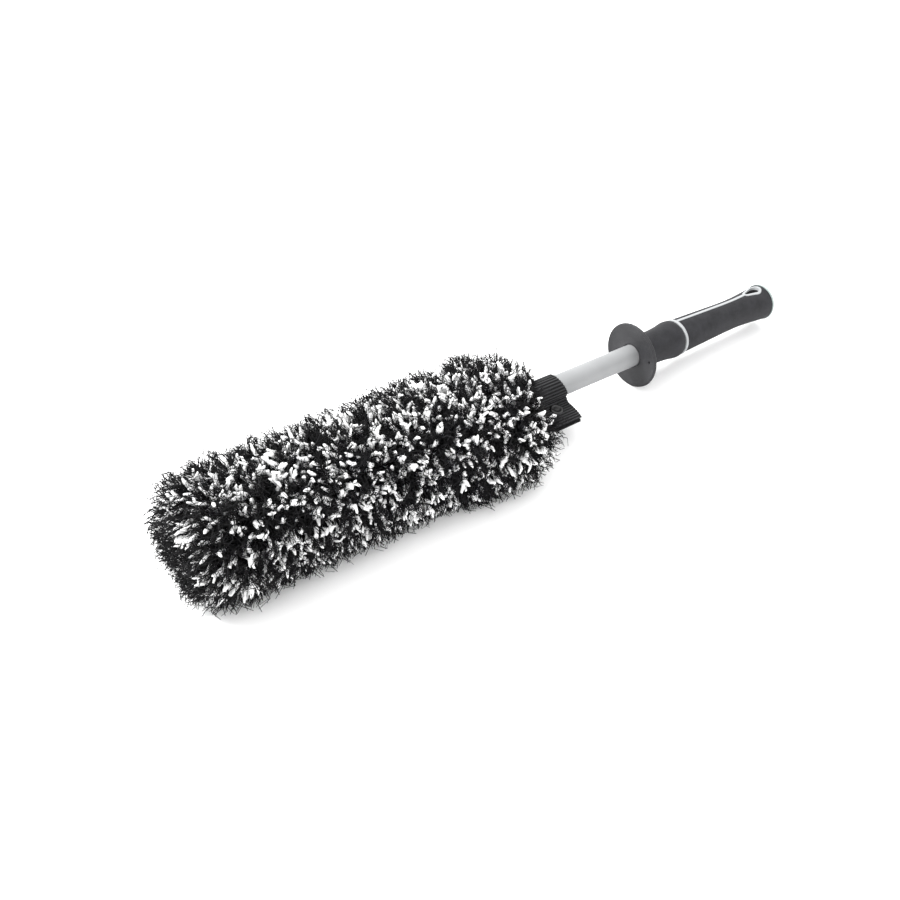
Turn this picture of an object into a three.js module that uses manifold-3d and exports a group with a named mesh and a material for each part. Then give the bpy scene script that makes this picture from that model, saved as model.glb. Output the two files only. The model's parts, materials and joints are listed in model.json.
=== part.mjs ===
// Wheel brush for car washing: a shaggy microfibre cover on a flexible core, a grey tube, a splash guard
// and a two-part soft handle with a hang hole. Millimetres, +Z up.
//
// The brush is drawn in its own frame: x runs along the tube towards the butt, with 0 at the guard's front
// face, +y is the far side and +z the top. It is then tilted and set down so that the guard's rim and the
// flattened underside of the pile rest on z = 0.
import * as THREE from "three";
import { mergeVertices } from "three/addons/utils/BufferGeometryUtils.js";
import Module from "manifold-3d";

const wasm = await Module();
wasm.setup();

// ---- Sizes ----------------------------------------------------------------------------------------------

const GAP = 0.3; // between pieces that touch
const REST_TILT = 2.3; // degrees that the head end is higher than the butt when the brush lies down

const TUBE_R = 10;
const TUBE_WALL = 1.2;
const TUBE_FRONT = -150;
const TUBE_IN_HANDLE = 56;

const GUARD_R = 30;
const GUARD_T = 3;
const GUARD_DISH = 0.7; // how far the front face is dished
const SPIGOT_WALL = 2.2; // the guard's hub under the front grip
const SPIGOT_L = 9;
const GATE_R = 1.2;
const GATE_DEPTH = 0.6;
const GATE_FROM_AXIS = 22;
const GATE_UP = 4;

const HANDLE_TURN = 5; // degrees that the stripe and the hang hole lean to the far side
const CORE_WALL = 2.3; // the handle core round the tube
const RING_R = 16.9;
const RING_W = 2.8;
const NECK_L = 51.4; // front grip, guard to ring
const NECK_WALL = 2.3; // the front grip at its waist
const SHOULDER_PROUD = 0.6; // its rear shoulder stands over the ring
const REAR_L = 116.5; // rear grip panels, ring to end cap
const WAIST_R = 14.0;
const BUTT_R = 16.9;
const REAR_GRIP_WALL = 2.4; // the rear panels at their waist
const REAR_BELOW_RING = 0.6;
const STRIPE_W = 2.8;
const STRIPE_PROUD = 0.35;
const HOLE_R = 4.8; // round end of the teardrop hang hole
const HOLE_TIP_R = 1.6;
const HOLE_REACH = 11; // between the centres of the teardrop's two ends
const HOLE_RIM = 2.2;
const HOLE_FROM_BUTT = 9.7; // centre of the round end to the end of the grip
const CAP_T = 3.2;
const CAP_PROUD = 0.4; // the cap's rim stands over the rubber
const CAP_PLUG_R = 6;
const CAP_PLUG_L = 2.6;

const PIN_R = 2;
const PIN_SHORT = 0.6; // how far its ends stay inside the handle core
const PIN_X = 30;

const BAR_W = 30;
const BAR_T = 5;
const BAR_END = -402;
const SOCKET_W = 26;
const SOCKET_T = 11.6;
const SOCKET_L = 26; // ahead of the tube
const PLUG_L = 20; // inside the tube
const RIVET_R = 2;
const FOAM_W = 44;
const FOAM_T = 3.2;
const BUMPER_L = 18;
const BUMPER_W = 38;

const SOCK_MOUTH = -118;
const SOCK_TIP = -411;
const SOCK_TIP_ROUND = 14;
const SOCK_TIP_SHARE = 0.55; // of the width behind it
const SOCK_WALL = 1.6;
const SOCK_SLACK_W = 3.4; // room beside the foam
const SOCK_SLACK_T = 1.4; // and over the tube

const PILE_REAR = -111;
const PILE_TIP = -436;
const PILE_HALF_W = 51;
const PILE_UP = 43;
const PILE_DOWN = 50; // as far as it would hang without a floor
const PILE_FLARE = 11; // how much wider it stands behind the gathered mouth
const PILE_FLARE_AT = 45; // from the mouth to the widest place
const PILE_SHIFT = -9; // how far it leans to the near side there
const PILE_MOUTH_ROUND = 40;
const PILE_MOUTH_SHARE = 0.6; // of the width behind it
const PILE_TIP_ROUND = 12;
const PILE_TIP_SHARE = 0.75;
const PILE_EVEN_FROM = 100; // behind the mouth it keeps one section

const CUFF_REAR = -86;
const CUFF_T = 1.5;
const CUFF_EASE = 0.6; // round the tube
const SLACK_W = 22.5; // the slack of the cuff, from the tube to its near edge
const SLACK_DROP = 1; // how far that edge hangs below the press stud
const SLACK_MOUTH = 1.3; // between the two layers at that edge
const SLACK_UNDER_TUBE = 2.2;
const FLAP_FROM_CUFF = 1.5;

const SNAP_X = -102.5;
const SNAP_FROM_CUFF = 4.4;
const SNAP_UNDER_CORE = 1.5; // the cap clears the foam and the socket as the cover comes off
const SNAP_SOCKET_T = 1;
const SNAP_STUD_T = 0.8;
const SNAP_PLAY = 0.7;
const SNAP_R = 6.2;
const SNAP_CAP_T = 1.9;
const SNAP_POST_R = 1.4;
const SNAP_HIDDEN_R = 4.6; // the press stud's socket, stud and back plate

// ---- Making solids --------------------------------------------------------------------------------------

const toRadians = THREE.MathUtils.degToRad;

function solid(geometry) {
  const bare = geometry.clone();
  bare.deleteAttribute("normal");
  bare.deleteAttribute("uv");
  const merged = mergeVertices(bare, 1e-4);
  return new wasm.Manifold(
    new wasm.Mesh({
      numProp: 3,
      vertProperties: new Float32Array(merged.attributes.position.array),
      triVerts: new Uint32Array(merged.index.array),
    }),
  );
}

function geometryOf(made) {
  const { vertProperties, triVerts } = made.getMesh();
  const geometry = new THREE.BufferGeometry();
  geometry.setAttribute("position", new THREE.BufferAttribute(vertProperties, 3));
  geometry.setIndex(new THREE.BufferAttribute(triVerts, 1));
  return geometry;
}

// A solid of revolution about the x axis. The profile's points are [x, radius], closed on itself or ending
// on the axis, and run so that the solid lies on their right.
function turned(profile, segments = 56) {
  const points = profile.map(([x, r]) => new THREE.Vector2(r, x));
  const geometry = new THREE.LatheGeometry(points, segments).rotateZ(-Math.PI / 2);
  return facingOut(geometry);
}

// Lathe and extrude geometries may come out inside out, so each is turned to face out.
function facingOut(geometry) {
  const made = solid(geometry);
  if (made.volume() > 0) return made;
  const index = geometry.index ? geometry.index.array : [...geometry.attributes.position.array.keys()];
  const turnedIndex = [];
  for (let i = 0; i < index.length; i += 3) turnedIndex.push(index[i], index[i + 2], index[i + 1]);
  geometry.setIndex(turnedIndex);
  return solid(geometry);
}

function rod(radius, from, to, segments = 32) {
  return turned([[from, 0], [from, radius], [to, radius], [to, 0]], segments);
}

function block(x, y, z) {
  const geometry = new THREE.BoxGeometry(x[1] - x[0], y[1] - y[0], z[1] - z[0]);
  geometry.translate((x[0] + x[1]) / 2, (y[0] + y[1]) / 2, (z[0] + z[1]) / 2);
  return solid(geometry);
}

// A plan shape in x and y, extruded along z.
function plate(shape, z, curveSegments = 12) {
  const geometry = new THREE.ExtrudeGeometry(shape, {
    depth: z[1] - z[0],
    bevelEnabled: false,
    curveSegments,
  });
  return facingOut(mergeVertices(geometry.translate(0, 0, z[0])));
}

// A section in y and z, extruded along x.
function rail(points, x) {
  const shape = new THREE.Shape(points.map(([y, z]) => new THREE.Vector2(y, z)));
  const geometry = new THREE.ExtrudeGeometry(shape, { depth: x[1] - x[0], bevelEnabled: false });
  // Shape x, y and depth become y, z and x.
  const turn = new THREE.Matrix4().makeBasis(
    new THREE.Vector3(0, 1, 0),
    new THREE.Vector3(0, 0, 1),
    new THREE.Vector3(1, 0, 0),
  );
  return facingOut(geometry.applyMatrix4(turn).translate(x[0], 0, 0));
}

// A closed skin over rings that have the same number of points.
function loft(rings) {
  const n = rings[0].length;
  const positions = rings.flat(2);
  const index = [];
  for (let r = 0; r + 1 < rings.length; r++) {
    for (let i = 0; i < n; i++) {
      const a = r * n + i;
      const b = r * n + ((i + 1) % n);
      index.push(a, b, a + n, b, b + n, a + n);
    }
  }
  const last = (rings.length - 1) * n;
  for (let i = 1; i + 1 < n; i++) {
    index.push(0, i + 1, i);
    index.push(last, last + i, last + i + 1);
  }
  const geometry = new THREE.BufferGeometry();
  geometry.setAttribute("position", new THREE.Float32BufferAttribute(positions, 3));
  geometry.setIndex(index);
  return facingOut(geometry);
}

// One ring of a loft: a superellipse across the brush at x.
function ovalRing(x, halfWidth, up, down, shiftY = 0, points = 40, power = 2.3) {
  return Array.from({ length: points }, (_, i) => {
    const angle = (2 * Math.PI * (i + 0.5)) / points;
    const c = Math.cos(angle);
    const s = Math.sin(angle);
    const y = Math.sign(c) * Math.abs(c) ** (2 / power) * halfWidth + shiftY;
    const z = Math.sign(s) * Math.abs(s) ** (2 / power) * (s > 0 ? up : down);
    return [x, y, z];
  });
}

// How much of its full section a rounded end keeps, at a distance from the end.
function rounded(distance, reach, least) {
  const inside = THREE.MathUtils.clamp(distance / reach, 0, 1);
  return least + (1 - least) * Math.sqrt(1 - (1 - inside) ** 2);
}

function between(from, to, steps) {
  return Array.from({ length: steps + 1 }, (_, i) => from + ((to - from) * i) / steps);
}

// ---- The scene graph ------------------------------------------------------------------------------------

const brush = new THREE.Group();
brush.rotation.y = toRadians(REST_TILT);

// Matt black soft plastic is shared by the grips; the rest have a finish each.
const finishes = {
  softGrip: { color: 0x4c4c4e, roughness: 0.75 },
  guardPlastic: { color: 0x4a4a4c, roughness: 0.6 },
  palePlastic: { color: 0xc8cacb, roughness: 0.45 },
  capPlastic: { color: 0xc3cac8, roughness: 0.35, opacity: 0.9, transparent: true },
  anodised: { color: 0xc4c6c7, roughness: 0.35, metalness: 0.8 },
  steel: { color: 0xb0b2b4, roughness: 0.35, metalness: 1 },
  corePlastic: { color: 0x2a2b2d, roughness: 0.6 },
  foam: { color: 0x6a6c70, roughness: 0.95 },
  knit: { color: 0x242426, roughness: 0.95 },
  pile: { color: 0x55555a, roughness: 1 },
  snapPlastic: { color: 0x1b1b1c, roughness: 0.4 },
};

function add(name, made, finish) {
  const mesh = new THREE.Mesh(geometryOf(made), new THREE.MeshStandardMaterial(finishes[finish]));
  mesh.name = name;
  brush.add(mesh);
  return mesh;
}

// ---- Tube -----------------------------------------------------------------------------------------------

const tubeBore = TUBE_R - TUBE_WALL;

function makeTube() {
  const wall = turned([
    [TUBE_FRONT, tubeBore],
    [TUBE_FRONT, TUBE_R],
    [TUBE_IN_HANDLE, TUBE_R],
    [TUBE_IN_HANDLE, tubeBore],
    [TUBE_FRONT, tubeBore],
  ]);
  return wall.subtract(pinHole().rotate([-HANDLE_TURN, 0, 0]));
}

function pinHole() {
  return rod(PIN_R + GAP, -2 * TUBE_R, 2 * TUBE_R, 20).rotate([0, 0, 90]).translate([PIN_X, 0, 0]);
}

// ---- Guard ----------------------------------------------------------------------------------------------

const bore = TUBE_R + GAP;
const spigotR = bore + SPIGOT_WALL;

function makeGuard() {
  const rim = GUARD_T / 2;
  const rimArc = between(90, -90, 6).map((angle) => [
    rim - rim * Math.sin(toRadians(angle)),
    GUARD_R - rim + rim * Math.cos(toRadians(angle)),
  ]);
  const disc = turned([
    [GUARD_DISH, bore],
    [GUARD_DISH, GUARD_R - 3 * rim],
    ...rimArc,
    [GUARD_T, spigotR],
    [GUARD_T + SPIGOT_L, spigotR],
    [GUARD_T + SPIGOT_L, bore],
    [GUARD_DISH, bore],
  ], 72);
  const gate = rod(GATE_R, -GATE_DEPTH, GUARD_DISH + GATE_DEPTH, 20).translate([
    0,
    -GATE_FROM_AXIS,
    GATE_UP,
  ]);
  return disc.subtract(gate);
}

// ---- Handle ---------------------------------------------------------------------------------------------

const coreR = bore + CORE_WALL;
const neckR = coreR + GAP + NECK_WALL;
const shoulderR = RING_R + SHOULDER_PROUD;
const rearCoreR = WAIST_R - REAR_GRIP_WALL;
const pinHalf = coreR - PIN_SHORT;
const neckStart = GUARD_T + GAP;
const ringStart = neckStart + NECK_L + GAP;
const ringEnd = ringStart + RING_W;
const rearStart = ringEnd + GAP;
const rearEnd = rearStart + REAR_L;
const holeX = rearEnd - HOLE_FROM_BUTT;
const spigotEnd = GUARD_T + SPIGOT_L;

// The front grip's waisted outline, from the guard to its rounded shoulder at the ring.
const neckProfile = [
  [neckStart, neckR + 0.8],
  [neckStart + 0.05 * NECK_L, neckR + 0.35],
  [neckStart + 0.2 * NECK_L, neckR],
  [neckStart + 0.4 * NECK_L, neckR],
  [neckStart + 0.58 * NECK_L, neckR + 0.25 * (shoulderR - neckR)],
  [neckStart + 0.74 * NECK_L, neckR + 0.7 * (shoulderR - neckR)],
  [neckStart + 0.86 * NECK_L, shoulderR],
  [neckStart + 0.94 * NECK_L, shoulderR - 0.1],
  [neckStart + 0.98 * NECK_L, shoulderR - 0.6],
  [neckStart + NECK_L, RING_R - 0.9],
];

// The rear grip tapers to its waist and flares again to the butt.
function rearRadius(x) {
  const t = (x - rearStart) / REAR_L;
  const waistAt = 0.62;
  const from = t < waistAt ? RING_R - REAR_BELOW_RING : BUTT_R;
  const away = t < waistAt ? 1 - t / waistAt : (t - waistAt) / (1 - waistAt);
  const eased = t < waistAt ? away ** 1.35 : away ** 1.7;
  return WAIST_R + (from - WAIST_R) * eased;
}

function rearProfile(proud) {
  return between(rearStart, rearEnd, 16).map((x) => [x, rearRadius(x) + proud]);
}

// The teardrop is the outline round two circles, the larger one towards the butt.
function teardrop(bigR, tipR, reach) {
  const lean = Math.asin((bigR - tipR) / reach);
  const side = Math.PI / 2 - lean;
  const shape = new THREE.Shape();
  shape.absarc(0, 0, bigR, -Math.PI + side, Math.PI - side, false);
  shape.absarc(-reach, 0, tipR, Math.PI - side, Math.PI + side, false);
  shape.closePath();
  return shape;
}

function hangHole(wider) {
  const shape = teardrop(HOLE_R + wider, HOLE_TIP_R + wider, HOLE_REACH);
  return plate(shape, [-2 * BUTT_R, 2 * BUTT_R]).translate([holeX, 0, 0]);
}

// The stripe and the rim of the hang hole, thickened by a clearance where the grips are cut for them.
function stripe(clearance) {
  const half = STRIPE_W / 2 + clearance;
  const along = block([ringStart, holeX - HOLE_REACH], [-half, half], [-2 * BUTT_R, 2 * BUTT_R]);
  return along.add(hangHole(HOLE_RIM + clearance));
}

function makeHandleCore() {
  const core = turned([
    [spigotEnd + GAP, 0],
    [spigotEnd + GAP, coreR],
    [ringStart, coreR],
    [ringStart, RING_R - 0.4],
    [ringStart + 0.4, RING_R],
    [ringEnd - 0.4, RING_R],
    [ringEnd, RING_R - 0.4],
    [ringEnd, rearCoreR],
    [rearEnd, rearCoreR],
    [rearEnd, 0],
  ]);
  const skin = turned([[rearStart, 0], ...rearProfile(STRIPE_PROUD), [rearEnd, 0]], 72);
  const shown = skin.intersect(stripe(0));
  const tubeBed = rod(bore, 0, TUBE_IN_HANDLE + GAP, 56);
  const plugBed = rod(CAP_PLUG_R + GAP, rearEnd - CAP_PLUG_L - GAP, rearEnd + GAP);
  return core
    .add(shown)
    .subtract(hangHole(0))
    .subtract(tubeBed)
    .subtract(plugBed)
    .subtract(pinHole())
    .rotate([-HANDLE_TURN, 0, 0]);
}

function makeFrontGrip() {
  return turned([
    [neckStart, coreR + GAP],
    ...neckProfile,
    [neckStart + NECK_L, coreR + GAP],
    [neckStart, coreR + GAP],
  ], 72);
}

function makeRearGrip(side) {
  const inner = rearCoreR + GAP;
  const sleeve = turned([
    [rearStart, inner],
    ...rearProfile(0),
    [rearEnd, inner],
    [rearStart, inner],
  ], 72);
  const reach = 2 * BUTT_R;
  const half = side < 0 ? [-reach, 0] : [0, reach];
  return sleeve
    .subtract(stripe(GAP))
    .intersect(block([rearStart - GAP, rearEnd + GAP], half, [-reach, reach]))
    .rotate([-HANDLE_TURN, 0, 0]);
}

function makeEndCap() {
  const start = rearEnd + GAP;
  const rimR = BUTT_R + CAP_PROUD;
  const face = 9; // radius of the flat middle of the dome
  return turned([
    [start - GAP - CAP_PLUG_L, 0],
    [start - GAP - CAP_PLUG_L, CAP_PLUG_R],
    [start, CAP_PLUG_R],
    [start, rimR - 0.3],
    [start + 0.1 * CAP_T, rimR],
    [start + 0.6 * CAP_T, rimR],
    [start + 0.85 * CAP_T, rimR - 1.6],
    [start + CAP_T, face],
    [start + CAP_T, 0],
  ], 72);
}

function makeLockPin() {
  return rod(PIN_R, -pinHalf, pinHalf, 20)
    .rotate([0, 0, 90])
    .translate([PIN_X, 0, 0])
    .rotate([-HANDLE_TURN, 0, 0]);
}

// ---- The core that carries the cover --------------------------------------------------------------------

const socketFront = TUBE_FRONT - SOCKET_L;
const slotEnd = TUBE_FRONT - 3; // the slot for the bar stops short of the plug
const rivetXs = { core_rivet_front: socketFront + 7, core_rivet_rear: socketFront + 16 };
const coreHalfT = BAR_T / 2 + GAP + FOAM_T;
const foamStart = socketFront - GAP;
const foamEnd = BAR_END + BUMPER_L / 2 + 4;

function roundEndedBar(width, from, to) {
  const half = width / 2;
  const corner = Math.min(half, 12);
  const shape = new THREE.Shape();
  shape.moveTo(to, -half);
  shape.lineTo(to, half);
  shape.lineTo(from + corner, half);
  shape.absarc(from + corner, half - corner, corner, Math.PI / 2, Math.PI, false);
  shape.lineTo(from, corner - half);
  shape.absarc(from + corner, corner - half, corner, Math.PI, 1.5 * Math.PI, false);
  shape.closePath();
  return shape;
}

function rivetHoles() {
  return Object.values(rivetXs)
    .map((x) => rod(RIVET_R + GAP / 2, -SOCKET_T, SOCKET_T, 20).rotate([0, 90, 0]).translate([x, 0, 0]))
    .reduce((all, one) => all.add(one));
}

function makeCoreSocket() {
  const plug = rod(tubeBore - GAP, TUBE_FRONT - 1, TUBE_FRONT + PLUG_L, 40);
  const jaw = block([socketFront, TUBE_FRONT - GAP], [-SOCKET_W / 2, SOCKET_W / 2], [-SOCKET_T / 2, SOCKET_T / 2]);
  const slot = block(
    [socketFront - 1, slotEnd],
    [-BAR_W / 2 - GAP, BAR_W / 2 + GAP],
    [-BAR_T / 2 - GAP, BAR_T / 2 + GAP],
  );
  return jaw.subtract(slot).add(plug).subtract(rivetHoles());
}

function makeCoreBar() {
  const bar = plate(roundEndedBar(BAR_W, BAR_END, slotEnd - GAP), [-BAR_T / 2, BAR_T / 2]);
  return bar.subtract(rivetHoles());
}

function makeRivet(x) {
  const head = RIVET_R + 1.2;
  const half = SOCKET_T / 2 + GAP / 2;
  const turnedRivet = turned([
    [-half - 0.9, 0],
    [-half - 0.9, head - 0.6],
    [-half, head],
    [-half, RIVET_R],
    [half, RIVET_R],
    [half, head],
    [half + 0.9, head - 0.6],
    [half + 0.9, 0],
  ], 20);
  return turnedRivet.rotate([0, 90, 0]).translate([x, 0, 0]);
}

function makeFoam(side) {
  const from = BAR_T / 2 + GAP;
  const z = side > 0 ? [from, from + FOAM_T] : [-from - FOAM_T, -from];
  const half = FOAM_W / 2;
  return block([foamEnd, foamStart], [-half, half], z);
}

function makeBumper() {
  const front = BAR_END - 4;
  const half = coreHalfT - GAP;
  const cap = plate(roundEndedBar(BUMPER_W, front, foamEnd - GAP), [-half, half]);
  const slot = plate(roundEndedBar(BAR_W + 2 * GAP, BAR_END - GAP, foamEnd + 1), [
    -BAR_T / 2 - GAP,
    BAR_T / 2 + GAP,
  ]);
  return cap.subtract(slot);
}

// ---- Cover ----------------------------------------------------------------------------------------------

const sockHalfW = FOAM_W / 2 + SOCK_SLACK_W + SOCK_WALL;
const sockHalfT = TUBE_R + SOCK_SLACK_T + SOCK_WALL;

function sockSkin(inset, mouth) {
  const tip = SOCK_TIP + inset;
  const round = SOCK_TIP_ROUND - inset;
  const xs = [...between(tip, tip + round, 5), ...between(tip + round, mouth, 6).slice(1)];
  const rings = xs.map((x) => {
    const keep = rounded(x - tip, round, SOCK_TIP_SHARE);
    const w = (sockHalfW - inset) * keep;
    const t = (sockHalfT - inset) * keep;
    return ovalRing(x, w, t, t, 0, 32, 2.8);
  });
  return loft(rings);
}

function makeBacking() {
  return sockSkin(0, SOCK_MOUTH).subtract(sockSkin(SOCK_WALL, SOCK_MOUTH + 5));
}

function pileRing(x) {
  const behind = PILE_REAR - x;
  const along = behind / PILE_FLARE_AT;
  const flare = (along * Math.exp(1 - along)) ** 1.5;
  const keep =
    rounded(behind, PILE_MOUTH_ROUND, PILE_MOUTH_SHARE) *
    rounded(x - PILE_TIP, PILE_TIP_ROUND, PILE_TIP_SHARE);
  return ovalRing(
    x,
    (PILE_HALF_W + PILE_FLARE * flare) * keep,
    (PILE_UP + 0.5 * PILE_FLARE * flare) * keep,
    PILE_DOWN * keep,
    PILE_SHIFT * flare,
  );
}

function makePile() {
  const xs = [
    ...between(PILE_TIP, PILE_TIP + PILE_TIP_ROUND, 4),
    ...between(PILE_TIP + PILE_TIP_ROUND, PILE_REAR - PILE_EVEN_FROM, 6).slice(1),
    ...between(PILE_REAR - PILE_EVEN_FROM, PILE_REAR - PILE_MOUTH_ROUND, 3).slice(1),
    ...between(PILE_REAR - PILE_MOUTH_ROUND, PILE_REAR, 6).slice(1),
  ];
  const hollow = sockSkin(-GAP, PILE_REAR + 5);
  return loft(xs.map(pileRing)).subtract(hollow);
}

// Everything of the pile on one side of the side seam, clear of the floor.
function makePileHalf(pile, side, floorZ) {
  const reach = 2 * PILE_DOWN;
  const z = side > 0 ? [GAP / 2, reach] : [-reach, -GAP / 2];
  const half = pile.intersect(block([PILE_TIP - 1, PILE_REAR + 1], [-reach, reach], z));
  if (side > 0) return half;
  // The floor in the brush's frame: a slab turned back by the tilt.
  const ground = block([-2 * Math.abs(PILE_TIP), 0], [-reach, reach], [-reach, 0])
    .translate([0, 0, floorZ])
    .rotate([0, -REST_TILT, 0]);
  return half.subtract(ground);
}

// ---- Cuff and press stud --------------------------------------------------------------------------------

const cuffIn = TUBE_R + CUFF_EASE;
const cuffOut = cuffIn + CUFF_T;
const cuffFront = PILE_REAR + GAP;

// The press stud sits beside the tube, low enough that its cap passes under the core. Each layer of the
// slack is given by the height of its top under the tube, at the stud and at its near edge.
const snapY = -cuffOut - SNAP_FROM_CUFF;
const snapStack = SNAP_SOCKET_T + SNAP_STUD_T + 3 * GAP + SNAP_PLAY;
const coreDepth = Math.max(coreHalfT, SOCKET_T / 2);
const snapDepth = coreDepth + SNAP_UNDER_CORE + SNAP_CAP_T + CUFF_T + snapStack;
const bandTop = -Math.max(snapDepth, cuffOut + SLACK_UNDER_TUBE);
const flapTop = bandTop + snapStack + CUFF_T;

const bandRoot = [0, -cuffIn - CUFF_T / 2];
const bandEdge = [-cuffOut - SLACK_W, bandTop - SLACK_DROP];
const flapEdge = [bandEdge[0] + CUFF_T, bandEdge[1] + CUFF_T + SLACK_MOUTH];
const flapRise = (flapTop - flapEdge[1]) / (snapY - flapEdge[0]);
const flapRootY = -cuffOut - FLAP_FROM_CUFF;
const flapRoot = [flapRootY, flapTop + flapRise * (flapRootY - snapY)];

// The outline of a layer under the points of its top.
function layer(top) {
  return [...top, ...top.map(([y, z]) => [y, z - CUFF_T]).reverse()];
}

function makeCuffBand() {
  const ring = turned([
    [SOCK_MOUTH + GAP, cuffIn],
    [SOCK_MOUTH + GAP, cuffOut],
    [CUFF_REAR, cuffOut],
    [CUFF_REAR, cuffIn],
    [SOCK_MOUTH + GAP, cuffIn],
  ], 40);
  const slack = rail(layer([bandRoot, [snapY, bandTop], bandEdge]), [cuffFront, CUFF_REAR]);
  const tubeRoom = rod(cuffIn, SOCK_MOUTH - 1, CUFF_REAR + 1, 40);
  return ring.add(slack).subtract(tubeRoom).subtract(postHole(bandTop, bandLean));
}

function makeCuffFlap() {
  return rail(layer([flapRoot, flapEdge]), [cuffFront, CUFF_REAR]).subtract(postHole(flapTop, flapLean));
}

// The angle at which a layer falls away from the tube.
function leanOf([y0, z0], [y1, z1]) {
  return THREE.MathUtils.radToDeg(Math.atan2(z0 - z1, y0 - y1));
}

const flapLean = leanOf(flapRoot, flapEdge);
const bandLean = leanOf(bandRoot, bandEdge);

// A piece of the press stud, lifted along its own axis, which stands square on its layer.
function stud(profile, z, lean, lift = 0, segments = 28) {
  return turned(profile, segments)
    .translate([lift, 0, 0])
    .rotate([0, -90, 0])
    .rotate([lean, 0, 0])
    .translate([SNAP_X, snapY, z]);
}

function postHole(z, lean) {
  const reach = CUFF_T + 2;
  const r = SNAP_POST_R + GAP;
  return stud([[-reach, 0], [-reach, r], [reach, r], [reach, 0]], z, lean, 0, 20);
}

function makeSnapCap() {
  return stud([
    [-CUFF_T - 0.8, 0],
    [-CUFF_T - 0.8, SNAP_POST_R],
    [GAP, SNAP_POST_R],
    [GAP, SNAP_R],
    [0.5 * SNAP_CAP_T, SNAP_R - 0.1],
    [0.85 * SNAP_CAP_T, SNAP_R - 0.9],
    [SNAP_CAP_T, SNAP_R - 2.2],
    [SNAP_CAP_T, 0],
  ], flapTop, flapLean);
}

function makeSnapSocket() {
  const top = -CUFF_T - GAP;
  return stud([
    [top, SNAP_POST_R + GAP],
    [top, SNAP_HIDDEN_R],
    [top - SNAP_SOCKET_T, SNAP_HIDDEN_R],
    [top - SNAP_SOCKET_T, SNAP_POST_R + GAP],
    [top, SNAP_POST_R + GAP],
  ], flapTop, flapLean);
}

function makeSnapStud() {
  return stud([
    [0, SNAP_POST_R + GAP],
    [0, SNAP_HIDDEN_R - 0.6],
    [SNAP_STUD_T, SNAP_HIDDEN_R - 0.6],
    [SNAP_STUD_T, SNAP_POST_R + GAP],
    [0, SNAP_POST_R + GAP],
  ], bandTop, bandLean, GAP);
}

function makeSnapBase() {
  return stud([
    [-0.9, 0],
    [-0.9, SNAP_HIDDEN_R],
    [0, SNAP_HIDDEN_R],
    [0, SNAP_POST_R],
    [CUFF_T + 1.4, SNAP_POST_R],
    [CUFF_T + 1.4, 0],
  ], bandTop, bandLean, -CUFF_T - GAP);
}

// ---- Assembly -------------------------------------------------------------------------------------------

add("tube", makeTube(), "anodised");
const guard = add("guard", makeGuard(), "guardPlastic");
add("handle_core", makeHandleCore(), "palePlastic");
add("front_grip", makeFrontGrip(), "softGrip");
add("rear_grip_near", makeRearGrip(-1), "softGrip");
add("rear_grip_far", makeRearGrip(1), "softGrip");
add("end_cap", makeEndCap(), "capPlastic");
add("lock_pin", makeLockPin(), "steel");

add("core_socket", makeCoreSocket(), "corePlastic");
add("core_bar", makeCoreBar(), "corePlastic");
for (const [name, x] of Object.entries(rivetXs)) add(name, makeRivet(x), "steel");
add("foam_upper", makeFoam(1), "foam");
add("foam_lower", makeFoam(-1), "foam");
add("tip_bumper", makeBumper(), "softGrip");

// The guard's rim is the lowest point of the handle, and it fixes the floor that flattens the pile.
brush.updateMatrixWorld(true);
const floorZ = new THREE.Box3().setFromObject(guard, true).min.z;
const pile = makePile();
add("cover_backing", makeBacking(), "knit");
add("pile_upper", makePileHalf(pile, 1, floorZ), "pile");
add("pile_lower", makePileHalf(pile, -1, floorZ), "pile");

add("cuff_band", makeCuffBand(), "knit");
add("cuff_flap", makeCuffFlap(), "knit");
add("snap_cap", makeSnapCap(), "snapPlastic");
add("snap_socket", makeSnapSocket(), "steel");
add("snap_stud", makeSnapStud(), "steel");
add("snap_base", makeSnapBase(), "snapPlastic");

// Set down with the middle of its box over the origin.
brush.updateMatrixWorld(true);
const box = new THREE.Box3().setFromObject(brush, true);
brush.position.set(-(box.min.x + box.max.x) / 2, -(box.min.y + box.max.y) / 2, -box.min.z);

const part = new THREE.Group();
part.add(brush);
export default part;
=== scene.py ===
# %% [markdown]
# # A wheel brush with a shaggy microfibre cover
#
# The brush has two halves that ask for different ways of working. The handle end is turned and moulded:
# an aluminium tube, a splash guard and soft grips on a pale core. The head is textile: a knitted sock with
# tens of thousands of strands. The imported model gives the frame, and every piece here sits in it.

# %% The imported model
import json
import math

import bpy
import numpy as np
from mathutils import Matrix, Vector


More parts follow.
